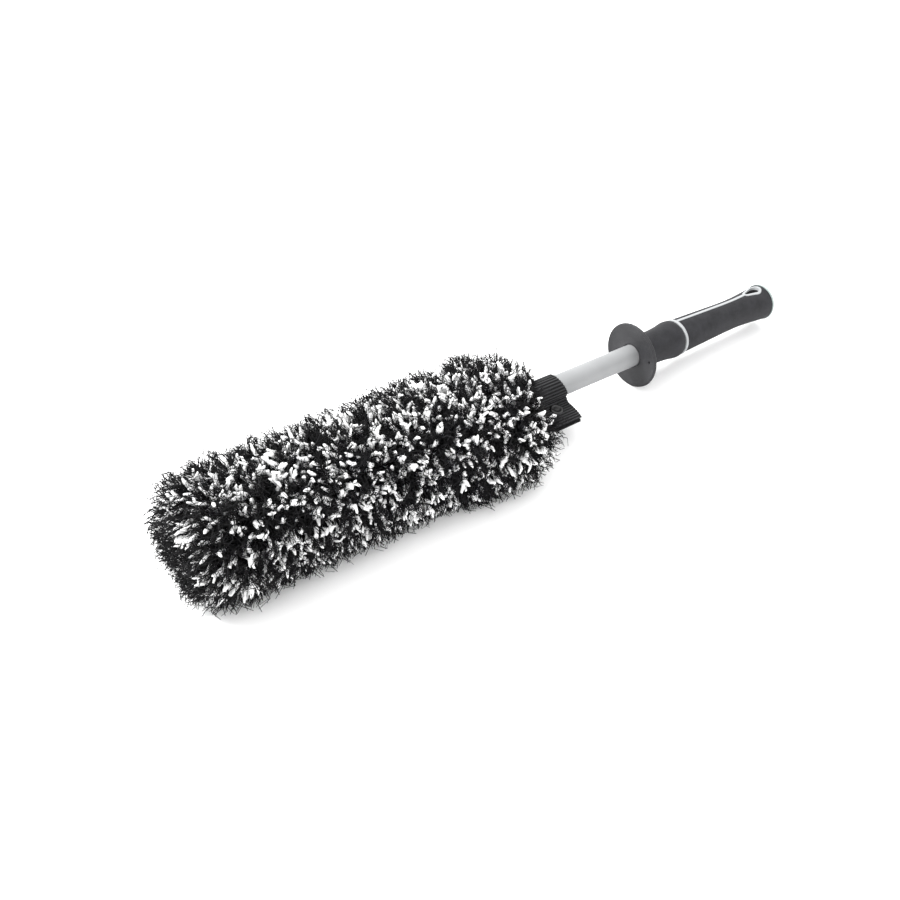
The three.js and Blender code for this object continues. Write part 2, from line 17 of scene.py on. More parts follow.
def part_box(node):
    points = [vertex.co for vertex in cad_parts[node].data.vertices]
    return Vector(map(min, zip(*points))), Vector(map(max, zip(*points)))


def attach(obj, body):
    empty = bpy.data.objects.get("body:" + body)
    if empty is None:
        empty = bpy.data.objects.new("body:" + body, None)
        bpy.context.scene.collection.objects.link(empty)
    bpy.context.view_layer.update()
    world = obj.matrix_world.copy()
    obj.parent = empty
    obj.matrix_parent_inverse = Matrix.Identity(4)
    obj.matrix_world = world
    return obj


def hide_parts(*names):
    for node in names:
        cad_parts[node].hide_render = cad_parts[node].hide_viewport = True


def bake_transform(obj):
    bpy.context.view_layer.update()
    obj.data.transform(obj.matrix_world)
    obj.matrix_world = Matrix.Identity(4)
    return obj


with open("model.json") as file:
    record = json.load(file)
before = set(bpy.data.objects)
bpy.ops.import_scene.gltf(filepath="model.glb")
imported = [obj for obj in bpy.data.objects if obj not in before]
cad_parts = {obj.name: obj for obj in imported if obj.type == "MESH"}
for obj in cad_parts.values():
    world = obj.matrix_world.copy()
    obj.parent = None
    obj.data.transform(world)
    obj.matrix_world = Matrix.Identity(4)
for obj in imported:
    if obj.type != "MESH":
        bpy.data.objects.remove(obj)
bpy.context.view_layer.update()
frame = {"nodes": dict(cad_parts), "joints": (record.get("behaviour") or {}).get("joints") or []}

# %% [markdown]
# ## The brush's own frame
#
# The brush lies tilted by a couple of degrees, because the guard and the pile hold it up. Turned shapes are
# far easier to draw along a straight axis, so each one is drawn with x along the tube, in millimetres from
# the guard's front face, and then set down. The cover slides along the tube, so its joint gives the tilt,
# and the tube's box gives the place.

# %% The tube's axis
MM = 0.001
TUBE_R = 10.0
TUBE_FRONT = -150.0
TUBE_BACK = 56.0

slide = next(j for j in frame["joints"] if j["name"] == "cover_slide")
axis = Vector(slide["axis"])
tilt = math.atan2(axis.z, -axis.x)
tube_low, tube_high = (Vector(corner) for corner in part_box("tube"))
tube_middle = (TUBE_FRONT + TUBE_BACK) / 2 * MM
along_tube = Vector((math.cos(tilt), 0, -math.sin(tilt)))
guard_face = (tube_low + tube_high) / 2 - along_tube * tube_middle
lay_down = Matrix.Translation(guard_face) @ Matrix.Rotation(tilt, 4, "Y") @ Matrix.Scale(MM, 4)
print("tilt", round(math.degrees(tilt), 2), "guard face", [round(v, 5) for v in guard_face])


def placed(x, y, z):
    """A point of the brush's own frame, in the shared one."""
    return lay_down @ Vector((x, y, z))


# %% [markdown]
# ## Camera
#
# The brush is seen from in front of its head, over the near side, from about a metre away, and the lens is
# a little longer than normal. A camera looks along its own -z, and to_track_quat turns that towards a
# direction.

# %% Camera
CAMERA_AWAY = 1.0
CAMERA_ROUND = 41.83
CAMERA_UP = 33.07
LOOK_YAW = 52.99
LOOK_PITCH = -38.5
LENS = 43.77


def direction(yaw, pitch):
    yaw, pitch = math.radians(yaw), math.radians(pitch)
    return Vector((math.cos(pitch) * math.cos(yaw), math.cos(pitch) * math.sin(yaw), math.sin(pitch)))


bpy.ops.object.camera_add()
camera = bpy.context.object
camera.location = guard_face - CAMERA_AWAY * direction(CAMERA_ROUND, -CAMERA_UP)
camera.rotation_euler = direction(LOOK_YAW, LOOK_PITCH).to_track_quat("-Z", "Y").to_euler()
camera.data.lens = LENS
camera.data.sensor_width = 36
bpy.context.scene.camera = camera
print("camera at", [round(v, 3) for v in camera.location])

# %% [markdown]
# ## Floor and light
#
# A plain pale floor under a broad, even light leaves only the soft contact shadows that such a product has
# on a studio table. The sky gives most of the light, and one large lamp overhead, a little behind and to
# the left, gives the tube and the grips their soft highlights.

# %% Colour, floor and light
SKY_STRENGTH = 1.75
LAMP_PLACE = (-1.0, 1.0, 1.5)
LAMP_SIZE = 0.6
LAMP_POWER = 66


def linear(hex_colour):
    """An sRGB hex colour, such as "4a4a4c", as the linear values that a shader takes."""
    parts = [int(hex_colour[i:i + 2], 16) / 255 for i in (0, 2, 4)]
    return (*(p / 12.92 if p <= 0.04045 else ((p + 0.055) / 1.055) ** 2.4 for p in parts), 1.0)


bpy.context.scene.view_settings.view_transform = "Standard"
world = bpy.data.worlds.new("studio")
bpy.context.scene.world = world
world.use_nodes = True
world.node_tree.nodes["Background"].inputs["Color"].default_value = (1, 1, 1, 1)
world.node_tree.nodes["Background"].inputs["Strength"].default_value = SKY_STRENGTH

bpy.ops.mesh.primitive_plane_add(size=14)
floor = bpy.context.object
floor.name = "floor"
table = bpy.data.materials.new("white_table")
table.use_nodes = True
table.node_tree.nodes["Principled BSDF"].inputs["Base Color"].default_value = linear("fafafa")
table.node_tree.nodes["Principled BSDF"].inputs["Roughness"].default_value = 0.9
floor.data.materials.append(table)


def softbox(name, place, towards, size, power):
    bpy.ops.object.light_add(type="AREA", location=place)
    lamp = bpy.context.object
    lamp.name = name
    lamp.data.size = size
    lamp.data.energy = power
    lamp.rotation_euler = (Vector(towards) - lamp.location).to_track_quat("-Z", "Y").to_euler()


softbox("overhead", LAMP_PLACE, (0, 0, 0), LAMP_SIZE, LAMP_POWER)

# %% [markdown]
# ## Building materials
#
# Every finish is a small node tree. One function adds a node, and one starts a material with its
# Principled shader, whose constants are set on its own sockets.

# %% Node helpers


def add_node(tree, kind, **values):
    """Adds a node. A value is a setting of the node, or an input by name: a number, colour or output."""
    node = tree.nodes.new(kind)
    for name, value in values.items():
        if hasattr(node, name):
            setattr(node, name, value)
            continue
        socket = node.inputs[int(name[2:]) if name.startswith("in") else name.replace("_", " ")]
        if isinstance(value, bpy.types.NodeSocket):
            tree.links.new(value, socket)
        else:
            socket.default_value = value
    return node


def start_material(name, colour, roughness, **sockets):
    material = bpy.data.materials.new(name)
    material.use_nodes = True
    shader = material.node_tree.nodes["Principled BSDF"]
    shader.inputs["Base Color"].default_value = linear(colour)
    shader.inputs["Roughness"].default_value = roughness
    for socket, value in sockets.items():
        shader.inputs[socket.replace("_", " ")].default_value = value
    return material, material.node_tree, shader


def object_place(tree, scale=(1, 1, 1)):
    """Object coordinates, stretched by scale."""
    where = add_node(tree, "ShaderNodeTexCoord")
    mapping = add_node(tree, "ShaderNodeMapping", Vector=where.outputs["Object"])
    mapping.inputs["Scale"].default_value = scale
    return mapping.outputs["Vector"]


def noise(tree, place, scale, detail=3.0, roughness=0.5):
    return add_node(
        tree, "ShaderNodeTexNoise", Vector=place, Scale=scale, Detail=detail, Roughness=roughness
    ).outputs["Fac"]


def remap(tree, value, low, high, to_low, to_high):
    node = add_node(tree, "ShaderNodeMapRange", in0=value)
    for socket, number in zip(node.inputs[1:5], (low, high, to_low, to_high)):
        socket.default_value = number
    return node.outputs[0]


def two_tone(tree, factor, first, second):
    node = add_node(tree, "ShaderNodeMix", data_type="RGBA")
    tree.links.new(factor, node.inputs[0])
    node.inputs[6].default_value = linear(first)
    node.inputs[7].default_value = linear(second)
    return node.outputs[2]


def bump(tree, shader, height, distance, strength=1.0):
    node = add_node(tree, "ShaderNodeBump", Height=height, Distance=distance, Strength=strength)
    tree.links.new(node.outputs["Normal"], shader.inputs["Normal"])


# %% [markdown]
# ## Finishes of the handle end
#
# The tube is drawn aluminium, etched matt and clear anodised, so it is pale and satin, and the drawing
# leaves faint lines along it. The guard is polypropylene from a spark-eroded mould: a fine even grain and a
# slight milkiness. The grips are thermoplastic rubber, softer and blacker, with the same grain and a little
# dust in it. The core's pale plastic shows as the ring and the stripe, and the cap on the butt is a clearer
# grade of it. The press stud is glossy acetal.

# %% Metal and plastics
GRIP_BLACK_AND_HOLE_SHADE = "1c1c1e"
# How far from the axis the pale core is painted dark, as shade inside the hang hole, and how soft that edge
# is.
HOLE_SHADE_R = 0.0138
HOLE_SHADE_EDGE = 0.0003


def make_anodised():
    # Extruded, drawn, etched and clear anodised; the die leaves fine lines along the tube.
    material, tree, shader = start_material(
        "anodised_aluminium", "86888a", 0.6, Metallic=0.1, Specular_IOR_Level=0.15)
    lines = noise(tree, object_place(tree, (6, 900, 900)), 1.0, 2.0)
    cloud = noise(tree, object_place(tree), 30.0)
    tree.links.new(two_tone(tree, remap(tree, cloud, 0.3, 0.7, 0, 1), "88898a", "919293"),
                   shader.inputs["Base Color"])
    tree.links.new(remap(tree, lines, 0.3, 0.7, 0.48, 0.62), shader.inputs["Roughness"])
    bump(tree, shader, lines, 0.00002, 0.5)
    return material


def make_moulded(name, dark, light, roughness, grain, depth, **sockets):
    # Injection moulded in a spark-eroded tool; grain is how many grains there are to a metre.
    material, tree, shader = start_material(name, dark, roughness, **sockets)
    place = object_place(tree)
    cloud = noise(tree, place, 70.0, 6.0, 0.72)
    tree.links.new(two_tone(tree, remap(tree, cloud, 0.3, 0.72, 0, 1), dark, light),
                   shader.inputs["Base Color"])
    grains = noise(tree, place, grain, 2.0)
    tree.links.new(remap(tree, cloud, 0.3, 0.7, roughness - 0.07, roughness + 0.07),
                   shader.inputs["Roughness"])
    bump(tree, shader, grains, depth)
    return material


anodised = make_anodised()
guard_plastic = make_moulded(
    "grained_polypropylene", "242426", "323234", 0.5, 1900, 0.00012, Specular_IOR_Level=0.2)
soft_grip = make_moulded(
    "soft_touch_rubber", GRIP_BLACK_AND_HOLE_SHADE, "2e2e31", 0.6, 1500, 0.00016, Specular_IOR_Level=0.15)
pale_plastic = make_moulded("pale_polypropylene", "909294", "9b9d9e", 0.45, 2500, 0.00004)
cap_plastic = make_moulded(
    "translucent_polypropylene", "8e9a98", "9ea8a6", 0.35, 2500, 0.00003, Transmission_Weight=0.1, IOR=1.49)
snap_plastic = make_moulded("black_acetal", "060607", "0b0b0c", 0.25, 2500, 0.00003)
socket_plastic = make_moulded("black_nylon", "202122", "28292b", 0.5, 1900, 0.00008)
steel = make_moulded("zinc_plated_steel", "a9abad", "b9bbbd", 0.34, 2500, 0.00003, Metallic=1.0)


def paint_hole_shade(material, within):
    """Paints shade in the hang hole: the core is painted dark within that distance of the axis."""
    tree = material.node_tree
    colour = tree.nodes["Principled BSDF"].inputs["Base Color"]
    where = add_node(tree, "ShaderNodeTexCoord").outputs["Object"]
    own = add_node(tree, "ShaderNodeMapping", vector_type="TEXTURE", Vector=where)
    own.inputs["Location"].default_value = guard_face
    own.inputs["Rotation"].default_value = (0, tilt, 0)
    across = add_node(tree, "ShaderNodeVectorMath", operation="MULTIPLY", in0=own.outputs["Vector"])
    across.inputs[1].default_value = (0, 1, 1)
    radius = add_node(tree, "ShaderNodeVectorMath", operation="LENGTH", in0=across.outputs["Vector"])
    mixed = add_node(tree, "ShaderNodeMix", data_type="RGBA")
    tree.links.new(remap(tree, radius.outputs["Value"], within, within + HOLE_SHADE_EDGE, 1, 0), mixed.inputs[0])
    tree.links.new(colour.links[0].from_socket, mixed.inputs[6])
    mixed.inputs[7].default_value = linear(GRIP_BLACK_AND_HOLE_SHADE)
    tree.links.new(mixed.outputs[2], colour)


# Painted shade on the walls of the hang hole, in the grip's black.
paint_hole_shade(pale_plastic, HOLE_SHADE_R)
print("finishes:", sorted(m.name for m in bpy.data.materials))

# %% [markdown]
# ## Turned pieces
#
# The tube, the guard, the sleeve and the cap are bodies of revolution. By hand they are made as on a lathe:
# one vertex is extruded along the profile, and the profile is spun round the axis. Spin can turn the faces
# inwards and leaves a double seam, so the seam is merged and the normals are made to point out.

# %% Selecting and spinning
ROUND = 96
RIM_ROUND = 128


def only(obj):
    """Makes obj the only thing that is selected."""
    bpy.ops.object.select_all(action="DESELECT")
    obj.select_set(True)
    bpy.context.view_layer.objects.active = obj


def editing(obj, action="SELECT"):
    only(obj)
    bpy.ops.object.mode_set(mode="EDIT")
    bpy.ops.mesh.select_all(action=action)


def done_editing():
    bpy.ops.object.mode_set(mode="OBJECT")


def set_down(obj, name, body, material, slot, *nodes):
    """Gives a piece drawn in the brush's own frame its place and its finish, and hides the imported nodes it
    stands for.
    """
    obj.name = name
    obj.data.name = name
    obj.matrix_world = lay_down
    only(obj)
    bpy.ops.object.transform_apply(location=True, rotation=True, scale=True)
    obj.data.materials.clear()
    obj.data.materials.append(material)
    if body:
        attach(obj, body)
    if nodes:
        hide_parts(*nodes)
    return obj


def spun(profile, steps=ROUND):
    """A solid of revolution about the x axis, from a profile of (x, radius) that is a loop or ends on it."""
    x, r = profile[0]
    bpy.ops.mesh.primitive_plane_add(size=0.01, location=(x, 0, r))
    obj = bpy.context.object
    only(obj)
    bpy.ops.object.transform_apply(location=True)
    editing(obj)
    bpy.ops.mesh.merge(type="CENTER")
    for (x0, r0), (x1, r1) in zip(profile, profile[1:]):
        move = (x1 - x0, 0, r1 - r0)
        bpy.ops.mesh.extrude_vertices_move(TRANSFORM_OT_translate={"value": move})
    bpy.ops.mesh.select_all(action="SELECT")
    bpy.ops.mesh.spin(steps=steps, angle=2 * math.pi, center=(0, 0, 0), axis=(1, 0, 0))
    bpy.ops.mesh.select_all(action="SELECT")
    bpy.ops.mesh.remove_doubles(threshold=0.001)
    bpy.ops.mesh.normals_make_consistent(inside=False)
    done_editing()
    return obj


def softened(obj, width, angle=35, segments=2, smooth=40):
    """Rounds the edges sharper than angle, and shades the rest smooth."""
    only(obj)
    if width:
        bevel = obj.modifiers.new("edges", "BEVEL")
        bevel.width = width
        bevel.segments = segments
        bevel.limit_method = "ANGLE"
        bevel.angle_limit = math.radians(angle)
        bpy.ops.object.modifier_apply(modifier=bevel.name)
    bpy.ops.object.shade_smooth_by_angle(angle=math.radians(smooth))
    return obj


def arc(x, r, radius, start, end, steps):
    """Points of a profile on a quarter or half circle about (x, r), by angles in degrees from +x."""
    turns = [math.radians(start + (end - start) * i / steps) for i in range(steps + 1)]
    return [(x + radius * math.cos(t), r + radius * math.sin(t)) for t in turns]


# %% [markdown]
# ## Tube, guard and front sleeve
#
# The tube is a plain drawn tube with a real wall, cut square at both ends. The guard is a dished disc with
# a full-round rim, a shallow raised ring near the bore, and the dimple where the mould was fed. Behind it
# a root fillet runs into the sleeve, which is waisted where finger and thumb close round it.

# %% Tube
TUBE_WALL = 1.2
GAP = 0.3

tube = spun([
    (TUBE_FRONT, TUBE_R - TUBE_WALL), (TUBE_FRONT, TUBE_R), (TUBE_BACK, TUBE_R),
    (TUBE_BACK, TUBE_R - TUBE_WALL), (TUBE_FRONT, TUBE_R - TUBE_WALL),
])
softened(tube, 0.25)
set_down(tube, "drawn_tube", "brush", anodised, "anodised", "tube")
print("tube faces", len(tube.data.polygons))

# %% Guard
GUARD_R = 30.0
GUARD_T = 3.0
DISH = 0.7
SPIGOT_R = 12.5
SPIGOT_END = 12.0
GATE_R = 1.2
GATE_DEPTH = 3.4
GATE_AT = (-22.0, 4.0)

rim_r = GUARD_T / 2
disc = spun([
    (DISH, TUBE_R + GAP), (DISH - 0.35, TUBE_R + 0.9), (DISH - 0.35, TUBE_R + 1.9), (DISH, TUBE_R + 2.6),
    (DISH, 18), (DISH - 0.05, 22), (DISH - 0.3, GUARD_R - 3.2), (0.12, GUARD_R - 2.1),
    *arc(rim_r, GUARD_R - rim_r, rim_r, 180, 0, 12),
    (GUARD_T - 0.1, GUARD_R - 3), (GUARD_T, 19.5), (GUARD_T, SPIGOT_R),
    (SPIGOT_END, SPIGOT_R), (SPIGOT_END, TUBE_R + GAP), (DISH, TUBE_R + GAP),
], RIM_ROUND)
bpy.ops.mesh.primitive_cylinder_add(
    vertices=24, radius=GATE_R, depth=GATE_DEPTH, location=(0, *GATE_AT), rotation=(0, math.pi / 2, 0))
gate = bpy.context.object
only(disc)
cut = disc.modifiers.new("gate", "BOOLEAN")
cut.object = gate
cut.operation = "DIFFERENCE"
bpy.ops.object.modifier_apply(modifier=cut.name)
bpy.data.objects.remove(gate)
softened(disc, 0.15, 60)
set_down(disc, "splash_guard", "brush", guard_plastic, "guard_plastic", "guard")
print("guard faces", len(disc.data.polygons))

# %% Front sleeve
SHOULDER_R = 17.5
RING_R = 16.9
NECK_START = GUARD_T + GAP
NECK_L = 51.4
NECK_R = 15.2
CORE_R = 12.6

neck_end = NECK_START + NECK_L
sleeve = spun([
    (NECK_START, CORE_R + GAP), (NECK_START, NECK_R + 3.0), (NECK_START + 0.4, NECK_R + 2.0),
    (NECK_START + 1.2, NECK_R + 1.1), (NECK_START + 2.6, NECK_R + 0.5), (NECK_START + 6, NECK_R + 0.15),
    (NECK_START + 11, NECK_R), (NECK_START + 17, NECK_R - 0.05), (NECK_START + 22, NECK_R + 0.05),
    (NECK_START + 27, NECK_R + 0.25), (NECK_START + 31, NECK_R + 0.5), (NECK_START + 35, NECK_R + 0.85),
    (NECK_START + 39, NECK_R + 1.4), (NECK_START + 42, SHOULDER_R - 0.35), (NECK_START + 45, SHOULDER_R),
    (neck_end - 4, SHOULDER_R - 0.1), (neck_end - 2.4, SHOULDER_R - 0.35), (neck_end - 1.1, SHOULDER_R - 0.9),
    (neck_end - 0.3, RING_R - 1.0), (neck_end, RING_R - 1.8), (neck_end, CORE_R + GAP),
    (NECK_START, CORE_R + GAP),
])
softened(sleeve, 0)
set_down(sleeve, "front_sleeve", "brush", soft_grip, "soft_grip", "front_grip")

# %% [markdown]
# ## Core and rear grips
#
# The core and the two rubber panels fit into each other along the stripe and round the teardrop hole. The
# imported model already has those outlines, cut as one sheath, so each piece starts as a copy of its CAD
# mesh. The copy is loose triangles, so it is merged first; then a bevel takes the sharp moulded edges off,
# which is what makes them catch the light.

# %% Core, panels and cap


def from_node(node, name, material, width):
    """A copy of a CAD node's mesh with softened edges, which stands for the node."""
    source = frame["nodes"][node]
    obj = bpy.data.objects.new(name, source.data.copy())
    bpy.context.scene.collection.objects.link(obj)
    editing(obj)
    bpy.ops.mesh.remove_doubles(threshold=2e-6)
    bpy.ops.mesh.dissolve_limited(angle_limit=math.radians(0.6))
    done_editing()
    obj.data.materials.clear()
    obj.data.materials.append(material)
    softened(obj, width, 45, 2, 38)
    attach(obj, "brush")
    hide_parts(node)
    return obj


from_node("handle_core", "pale_core", pale_plastic, 0.00025)
from_node("rear_grip_near", "near_panel", soft_grip, 0.0004)
from_node("rear_grip_far", "far_panel", soft_grip, 0.0004)

CAP_START = 174.9
CAP_T = 3.2
CAP_R = 17.3
cap = spun([
    (CAP_START - 2.9, 0), (CAP_START - 2.9, 6), (CAP_START, 6), (CAP_START, CAP_R - 0.35),
    (CAP_START + 0.1, CAP_R - 0.1), (CAP_START + 0.35, CAP_R), (CAP_START + 1.7, CAP_R),
    (CAP_START + 2.2, CAP_R - 0.3), (CAP_START + 2.6, CAP_R - 1.0), (CAP_START + 2.9, CAP_R - 2.6),
    (CAP_START + 3.1, 10.6), (CAP_START + CAP_T, 8.6), (CAP_START + CAP_T, 0),
])
softened(cap, 0)
set_down(cap, "butt_cap", "brush", cap_plastic, "cap_plastic", "end_cap")
print("handle pieces done")

# %% [markdown]
# ## Pieces inside
#
# The core that carries the cover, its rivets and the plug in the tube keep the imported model's shapes, and
# they show when the cover comes off. The foam strips are open-celled polyurethane, cut with a hot wire.

# %% Finishes inside


def make_foam():
    # Slabstock polyurethane: open cells under a millimetre across, cut with a hot wire.
    material, tree, shader = start_material("open_cell_foam", "55575b", 0.95)
    place = object_place(tree)
    cells = add_node(tree, "ShaderNodeTexVoronoi", Vector=place, Scale=1300.0).outputs["Distance"]
    tree.links.new(two_tone(tree, remap(tree, cells, 0.1, 0.6, 0, 1), "2f3033", "6b6e72"),
                   shader.inputs["Base Color"])
    bump(tree, shader, cells, 0.0004)
    return material


foam = make_foam()


def refinish(material, slot, *nodes):
    for node in nodes:
        obj = frame["nodes"][node]
        obj.data.materials.clear()
        obj.data.materials.append(material)


refinish(socket_plastic, "core_plastic", "core_socket", "core_bar")
refinish(soft_grip, "soft_grip", "tip_bumper")
refinish(steel, "steel", "core_rivet_front", "core_rivet_rear", "lock_pin", "snap_socket", "snap_stud")
refinish(foam, "foam", "foam_upper", "foam_lower")
refinish(snap_plastic, "snap_plastic", "snap_base")

# %% [markdown]
# ## Rib-knit cuff
#
# The cuff is a one-by-one rib knit in elastane and polyester. Its ribs run along the tube, and its slack is
# pinched flat on the near side and held by a press stud. A cloth like that is a strip with a known
# section, so the section is drawn as a path round the tube, swept along the ribs, and given ribs and
# thickness. It is two pieces that meet in a groove: the ring with its lower layer, and the upper layer,
# which lifts when the stud is undone.

# %% Knit finish


def make_knit():
    # Rib knit of textured polyester with elastane; u counts the ribs and v runs along them, in mm.
    material, tree, shader = start_material(
        "rib_knit_elastane", "121213", 0.95, Sheen_Weight=0.1, Specular_IOR_Level=0.2)
    shader.inputs["Sheen Roughness"].default_value = 0.5
    uv = add_node(tree, "ShaderNodeUVMap", uv_map="knit")
    stitches = add_node(tree, "ShaderNodeTexWave", Vector=uv.outputs["UV"], Scale=0.42, Distortion=1.5)
    stitches.bands_direction = "Y"
    stitches.inputs["Detail"].default_value = 1.0
    ribs = add_node(tree, "ShaderNodeAttribute", attribute_name="rib").outputs["Fac"]
    fibre = noise(tree, object_place(tree), 3500.0, 3.0, 0.7)
    # Painted highlight on the rib ridges and painted shade in the grooves between them, following the rib
    # attribute.
    rib_highlight_and_shade = two_tone(tree, remap(tree, ribs, 0.5, 1.0, 0, 1), "050506", "363639")
    light = add_node(tree, "ShaderNodeMix", data_type="RGBA", blend_type="MULTIPLY")
    light.inputs[0].default_value = 0.6
    tree.links.new(rib_highlight_and_shade, light.inputs[6])
    tree.links.new(two_tone(tree, fibre, "8a8a8a", "ffffff"), light.inputs[7])
    tree.links.new(light.outputs[2], shader.inputs["Base Color"])
    height = add_node(tree, "ShaderNodeMath", operation="ADD")
    tree.links.new(stitches.outputs["Fac"], height.inputs[0])
    tree.links.new(fibre, height.inputs[1])
    bump(tree, shader, height.outputs[0], 0.00018, 0.7)
    return material


knit = make_knit()

# %% Cuff section
CUFF_REAR = -86.5
CUFF_FRONT = -123.0
CUFF_R = 11.5
RIB = 2.6
RIB_HEIGHT = 0.75
CUFF_T = 1.1
CUFF_ROWS = 34
PATH_STEP = 0.3
SEAM = 88.0
FLAP_TOP = (-13.6, -8.9)
FLAP_EDGE = (-34.0, -12.4)
BAND_EDGE = (-33.4, -16.4)


def along(points, step):
    """Points about step apart along the straight lines that join the points given."""
    knots = np.array(points, float)
    lengths = np.r_[0, np.cumsum(np.linalg.norm(np.diff(knots, axis=0), axis=1))]
    count = max(2, int(round(lengths[-1] / step)))
    where = np.linspace(0, lengths[-1], count + 1)
    return np.column_stack([np.interp(where, lengths, knots[:, k]) for k in range(knots.shape[1])])


def smoothed(points, rounds):
    path = points.copy()
    for _ in range(rounds):
        path[1:-1] = (path[:-2] + 2 * path[1:-1] + path[2:]) / 4
    return path


def round_tube(start, end):
    """Points on the cuff's circle, by angles in degrees from +y towards +z."""
    turns = np.radians(np.linspace(start, end, 30))
    return [(CUFF_R * math.cos(t), CUFF_R * math.sin(t)) for t in turns]


upper_path = smoothed(along(
    [*round_tube(SEAM, 204), FLAP_TOP, (-20, -9.7), (-28, -11.0), (-32, -11.7), FLAP_EDGE], PATH_STEP), 8)
lower_path = smoothed(along([
    *round_tube(SEAM, -84), (-3, -13.2), (-12, -14.2), (-22, -14.8), (-30, -15.8), BAND_EDGE,
], PATH_STEP), 8)
print("cuff paths", len(upper_path), len(lower_path))

# %% Cuff pieces


def rear_edge(y, z):
    """How far back the cuff reaches at a point of its section: an S over the tube and out to the corner."""
    out = np.clip((-y - 10) / 24, 0, 1)
    over = np.clip(z / CUFF_R, 0, 1)
    return CUFF_REAR - 5.0 * over - 0.6 * out - 1.8 * out ** 5


def knit_strip(path, name, body, node, seed):
    """Sweeps a section along the ribs and gives it ribs, a knit UV map and thickness."""
    steps = len(path) - 1
    tangent = np.gradient(path, axis=0)
    tangent /= np.linalg.norm(tangent, axis=1)[:, None]
    outward = np.column_stack([tangent[:, 1], -tangent[:, 0]])
    if outward[0] @ path[0] < 0:
        outward = -outward
    travelled = np.r_[0, np.cumsum(np.linalg.norm(np.diff(path, axis=0), axis=1))]
    phase = 2 * math.pi * travelled / RIB
    rib = 0.5 - 0.5 * np.cos(phase)
    ends = rear_edge(path[:, 0], path[:, 1])
    verts, uvs, ribs = [], [], []
    wander = np.random.default_rng(seed).normal(0, 0.05, (CUFF_ROWS + 1, 1))
    for j in range(CUFF_ROWS + 1):
        t = j / CUFF_ROWS
        x = CUFF_FRONT + (ends - CUFF_FRONT) * t
        swell = 0.9 * (1 - t) ** 2 * np.clip(np.abs(path[:, 0]) / 30, 0, 1)
        lift = (RIB_HEIGHT * rib ** 0.7 + swell + wander[j])[:, None] * outward
        ring = path + lift
        verts.append(np.column_stack([x, ring]))
        uvs.append(np.column_stack([travelled, x]))
        ribs.append(rib)
    n = steps + 1
    faces = [(j * n + i, j * n + i + 1, (j + 1) * n + i + 1, (j + 1) * n + i)
             for j in range(CUFF_ROWS) for i in range(steps)]
    mesh = bpy.data.meshes.new(name)
    mesh.from_pydata(np.concatenate(verts).tolist(), [], faces)
    layer = mesh.uv_layers.new(name="knit")
    order = np.array([v for face in faces for v in face])
    layer.data.foreach_set("uv", np.concatenate(uvs)[order].astype(np.float32).ravel())
    shade = mesh.attributes.new("rib", "FLOAT", "POINT")
    shade.data.foreach_set("value", np.concatenate(ribs).astype(np.float32))
    obj = bpy.data.objects.new(name, mesh)
    bpy.context.scene.collection.objects.link(obj)
    first = mesh.polygons[0]
    if first.normal.y * outward[0][0] + first.normal.z * outward[0][1] < 0:
        mesh.flip_normals()
    only(obj)
    wall = obj.modifiers.new("wall", "SOLIDIFY")
    wall.thickness = CUFF_T
    wall.offset = -1
    bpy.ops.object.modifier_apply(modifier=wall.name)
    bpy.ops.object.shade_smooth_by_angle(angle=math.radians(60))
    set_down(obj, name, body, knit, "knit", node)
    return obj


cuff_ring = knit_strip(lower_path, "cuff_ring", "cover", "cuff_band", 3)
cuff_slack = knit_strip(upper_path, "cuff_slack", None, "cuff_flap", 5)
print("cuff faces", len(cuff_ring.data.polygons), len(cuff_slack.data.polygons))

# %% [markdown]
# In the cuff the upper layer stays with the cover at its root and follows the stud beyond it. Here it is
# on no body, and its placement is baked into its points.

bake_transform(cuff_slack)

# %% [markdown]
# ## Press stud
#
# The cap is moulded acetal with a slightly dished top inside a rounded rim, pressed through the knit. It is
# spun like the other turned pieces, and it leans with the layer it sits on.

# %% Press stud cap
SNAP_AT = (-102.5, -16.5, -9.4)
SNAP_LEAN = 10.5
SNAP_R = 6.2
stud = spun([
    (-2.3, 0), (-2.3, 1.4), (0.3, 1.4), (0.3, SNAP_R - 0.3), (0.6, SNAP_R), (1.2, SNAP_R - 0.15),
    (1.7, SNAP_R - 0.7), (1.9, SNAP_R - 1.5), (1.82, SNAP_R - 2.1), (1.55, SNAP_R - 2.6), (1.5, 2.0),
    (1.5, 0),
], 48)
lean = Matrix.Rotation(math.radians(SNAP_LEAN), 4, "X") @ Matrix.Rotation(-math.pi / 2, 4, "Y")
stud.data.transform(Matrix.Translation(SNAP_AT) @ lean)
softened(stud, 0)
set_down(stud, "stud_cap", "cuff_flap_body", snap_plastic, "snap_plastic", "snap_cap")

# %% [markdown]
# ## The head's bed and its sock
#
# Under the visible ends of the strands the pile is matted, dark and soft. That bed is one closed body with
# a bore for the sock; its dark is the black fibre's own and also painted shade for the depths of the pile. It
# is grown from a disc at the tip, ring by ring: extrude, scale, move. The sock's room is grown the same way
# and cut out, and a bisect presses the underside flat on the floor. The sock is grown once more a little
# smaller, opened at its mouth and given a wall.

# %% Pile finishes


def make_fibre(name, dark, light, gloss):
    # Split microfibre of polyester and polyamide, texturised and tufted; each strand has its own shade.
    material, tree, shader = start_material(name, light, 0.9, Specular_IOR_Level=gloss)
    shade = add_node(tree, "ShaderNodeAttribute", attribute_name="shade").outputs["Fac"]
    fibres = noise(tree, object_place(tree), 2600.0, 3.0, 0.7)
    mixed = add_node(tree, "ShaderNodeMath", operation="MULTIPLY")
    tree.links.new(shade, mixed.inputs[0])
    tree.links.new(remap(tree, fibres, 0.3, 0.7, 0.75, 1.1), mixed.inputs[1])
    tree.links.new(two_tone(tree, mixed.outputs[0], dark, light), shader.inputs["Base Color"])
    bump(tree, shader, fibres, 0.0003, 0.6)
    return material


black_fibre = make_fibre("black_microfibre", "040404", "222224", 0.2)
white_fibre = make_fibre("white_microfibre", "f6f6f6", "ffffff", 0.2)

